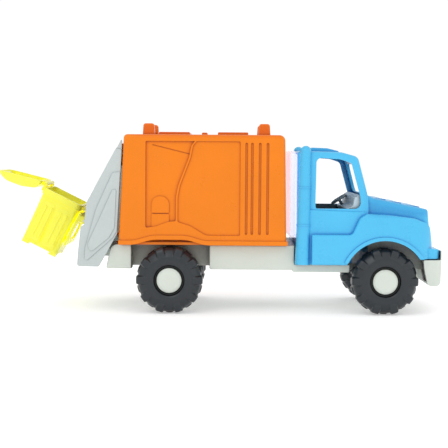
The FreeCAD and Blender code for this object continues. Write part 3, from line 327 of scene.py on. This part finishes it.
# Half cross-section from the bead to the crown, as (distance from the middle plane, radius), in mm:
# the lugs' outer surface, and the floor between them.
LUG_PROFILE = ((12.6, 15.6), (13.3, 17.0), (13.75, 19.0), (13.9, 21.5), (13.9, 24.0), (13.7, 26.6),
               (13.3, 29.0), (12.6, 31.0), (11.3, 32.6), (8.8, 33.5), (5.0, 33.76), (0.0, 33.78))
FLOOR_PROFILE = ((12.6, 15.6), (13.3, 17.0), (13.75, 19.0), (13.8, 21.5), (13.4, 23.8), (12.3, 26.0),
                 (11.2, 28.0), (9.9, 29.7), (8.2, 31.0), (6.0, 31.9), (3.2, 32.4), (0.0, 32.6))


def resampled(profile, count):
    """A polyline's points, smoothed, at equal parameter steps."""
    points = []
    last = len(profile) - 1
    for index in range(count + 1):
        place = index / count * last
        start = min(int(place), last - 1)
        share = place - start
        around = [profile[max(0, start - 1)], profile[start], profile[start + 1],
                  profile[min(last, start + 2)]]
        point = []
        for axis in (0, 1):
            a, b, c, d = (corner[axis] for corner in around)
            point.append(0.5 * (2 * b + (c - a) * share + (2 * a - 5 * b + 4 * c - d) * share ** 2
                                + (3 * b - a - 3 * c + d) * share ** 3))
        points.append(tuple(point))
    return points


def lug_cover(along, across):
    """1 on a lug, 0 on the floor, from millimetres along the profile and round the tyre."""
    middle = sum(LUG_LENGTH) / 2
    half = (LUG_LENGTH[1] - LUG_LENGTH[0]) / 2
    out_x = abs(along - middle) - half + LUG_CORNER
    out_y = abs(across) - LUG_HALF_WIDTH + LUG_CORNER
    outside = math.hypot(max(out_x, 0), max(out_y, 0)) + min(max(out_x, out_y), 0) - LUG_CORNER
    share = min(1.0, max(0.0, 0.5 - outside / LUG_EDGE))
    return share * share * (3 - 2 * share)


def tyre_mesh(name):
    """A tyre about the Y axis, in metres, with its outer face towards +Y."""
    tops = resampled(LUG_PROFILE, PROFILE_STEPS)
    floors = resampled(FLOOR_PROFILE, PROFILE_STEPS)
    runs = [0.0]
    for here, there in zip(reversed(floors[:-1]), reversed(floors[1:])):
        runs.append(runs[-1] + math.dist(here, there))
    runs.reverse()
    rows = []
    for side, order in ((1, range(PROFILE_STEPS + 1)), (-1, range(PROFILE_STEPS - 1, -1, -1))):
        for index in order:
            rows.append((side, index))
    verts = []
    for side, index in rows:
        for step in range(ROUND_STEPS):
            angle = 360.0 * step / ROUND_STEPS
            cover = 0.0
            for lug_side, first in ((1, LUG_STEP / 2), (-1, 0.0)):
                offset = (angle - first + LUG_STEP / 2) % LUG_STEP - LUG_STEP / 2
                across = math.radians(offset) * max(LUG_INNER_RADIUS, floors[index][1])
                cover = max(cover, lug_cover(side * lug_side * runs[index], across))
            flat = floors[index][0] + (tops[index][0] - floors[index][0]) * cover
            radius = floors[index][1] + (tops[index][1] - floors[index][1]) * cover
            turn = math.radians(angle)
            verts.append((radius * math.sin(turn) * MM, side * flat * MM, radius * math.cos(turn) * MM))
    faces = []
    count = len(rows)
    for row in range(count):
        following = (row + 1) % count
        for step in range(ROUND_STEPS):
            onward = (step + 1) % ROUND_STEPS
            faces.append((row * ROUND_STEPS + step, row * ROUND_STEPS + onward,
                          following * ROUND_STEPS + onward, following * ROUND_STEPS + step))
    mesh = closed_mesh(name, verts, faces, "tyre")
    for polygon in mesh.polygons:
        polygon.use_smooth = True
    return mesh


pattern = tyre_mesh("tyre_pattern")
for end in ("front", "rear"):
    for hand, side in (("right", -1), ("left", 1)):
        node_name = "%s_%s_tyre" % (end, hand)
        wheel = linked(node_name + "_moulded", pattern.copy())
        turned = Matrix.Rotation(0.0 if side > 0 else math.pi, 4, "Z")
        wheel.matrix_world = Matrix.Translation(centre(node_name)) @ turned
        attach(wheel, end + "_wheels")
        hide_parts(node_name)
bpy.data.meshes.remove(pattern)


# ---------------------------------------------------------------- moulded bars on the bin

# In millimetres about the lift's pin, in the bin's upright frame, which rests at BIN_TILT.
BIN_TILT = math.radians(26.5)
BAR_EDGE = 0.5
BAR_END_STEPS = 12
BAR_Y = (29.9, 31.0)
BAR_Z = (-38.0, -3.0)
BAR_X = ((-43.6, -40.8), (-37.2, -34.4), (-26.6, -23.8), (-20.2, -17.4))


def bar(verts, faces, side, x_range):
    """Adds a raised bar with round ends and an eased edge."""
    middle = sum(x_range) / 2
    half = (x_range[1] - x_range[0]) / 2
    rings = []
    for depth, inset in ((BAR_Y[0], 0.0), (BAR_Y[1] - BAR_EDGE, 0.0), (BAR_Y[1], BAR_EDGE)):
        ring = []
        for end, start in ((BAR_Z[1] - half, 0.0), (BAR_Z[0] + half, math.pi)):
            for step in range(BAR_END_STEPS + 1):
                turn = start + math.pi * step / BAR_END_STEPS
                ring.append(len(verts))
                verts.append(((middle + (half - inset) * math.cos(turn)) * MM, side * depth * MM,
                              (end + (half - inset) * math.sin(turn)) * MM))
        rings.append(ring)
    count = len(rings[0])
    for lower, upper in zip(rings, rings[1:]):
        for step in range(count):
            onward = (step + 1) % count
            faces.append((lower[step], lower[onward], upper[onward], upper[step]))
    faces.append(tuple(reversed(rings[0])))
    faces.append(tuple(rings[-1]))


for hand, side in (("right", -1), ("left", 1)):
    verts = []
    faces = []
    for x_range in BAR_X:
        bar(verts, faces, side, x_range)
    name = "bin_%s_bars" % hand
    bars = linked(name, closed_mesh(name, verts, faces, "yellow_plastic"))
    bars.matrix_world = (Matrix.Translation(centre("bin_lift_pin"))
                         @ Matrix.Rotation(BIN_TILT, 4, "Y"))
    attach(bars, "bin")


# ---------------------------------------------------------------- floor, light and camera

FLOOR_REACH = 4.0
FLOOR_COLOUR = (0.84, 0.84, 0.84, 1)
FLOOR_GLOW = 0.34
WORLD_STRENGTH = 1.03
# name: (place, point aimed at, size, power)
SOFTBOXES = {
    "key": ((-0.7, -1.5, 1.5), (0, 0, 0.08), (0.9, 0.9), 4.5),
    "fill": ((1.4, -1.3, 0.7), (0.05, 0, 0.08), (1.0, 1.0), 1.5),
}
CAMERA_AT = Vector((0.013, -1.152, 0.159))
CAMERA_AIM = Vector((0.0063, -0.074, 0.0912))
CAMERA_ROLL = math.radians(0.40)
CAMERA_LENS = 87.05
SENSOR_WIDTH = 36.0


def floor():
    mesh = bpy.data.meshes.new("studio_floor")
    corners = [(x * FLOOR_REACH, y * FLOOR_REACH, 0) for x, y in ((-1, -1), (1, -1), (1, 1), (-1, 1))]
    mesh.from_pydata(corners, [], [(0, 1, 2, 3)])
    ground = linked("studio_floor", mesh)
    material = bpy.data.materials.new("studio_floor")
    material.use_nodes = True
    shader = material.node_tree.nodes["Principled BSDF"]
    shader.inputs["Base Color"].default_value = FLOOR_COLOUR
    shader.inputs["Roughness"].default_value = 0.9
    shader.inputs["Specular IOR Level"].default_value = 0.1
    shader.inputs["Emission Color"].default_value = (1, 1, 1, 1)
    shader.inputs["Emission Strength"].default_value = FLOOR_GLOW
    mesh.materials.append(material)


def softbox(name, place, aim, size, power):
    lamp = bpy.data.lights.new(name, "AREA")
    lamp.shape = "RECTANGLE"
    lamp.size = size[0]
    lamp.size_y = size[1]
    lamp.energy = power
    holder = linked(name, lamp)
    holder.location = place
    holder.rotation_euler = (Vector(aim) - Vector(place)).to_track_quat("-Z", "Y").to_euler()


floor()
world = bpy.data.worlds.new("studio")
world.use_nodes = True
world.node_tree.nodes["Background"].inputs["Color"].default_value = (1, 1, 1, 1)
world.node_tree.nodes["Background"].inputs["Strength"].default_value = WORLD_STRENGTH
bpy.context.scene.world = world
for lamp_name, (place, aim, size, power) in SOFTBOXES.items():
    softbox(lamp_name, place, aim, size, power)

camera = bpy.data.cameras.new("camera")
camera.lens = CAMERA_LENS
camera.sensor_width = SENSOR_WIDTH
viewer = linked("camera", camera)
viewer.location = CAMERA_AT
viewer.rotation_euler = ((CAMERA_AIM - CAMERA_AT).to_track_quat("-Z", "Y").to_matrix()
                         @ Matrix.Rotation(CAMERA_ROLL, 3, "Z")).to_euler()
bpy.context.scene.camera = viewer
bpy.context.scene.view_settings.view_transform = "Standard"
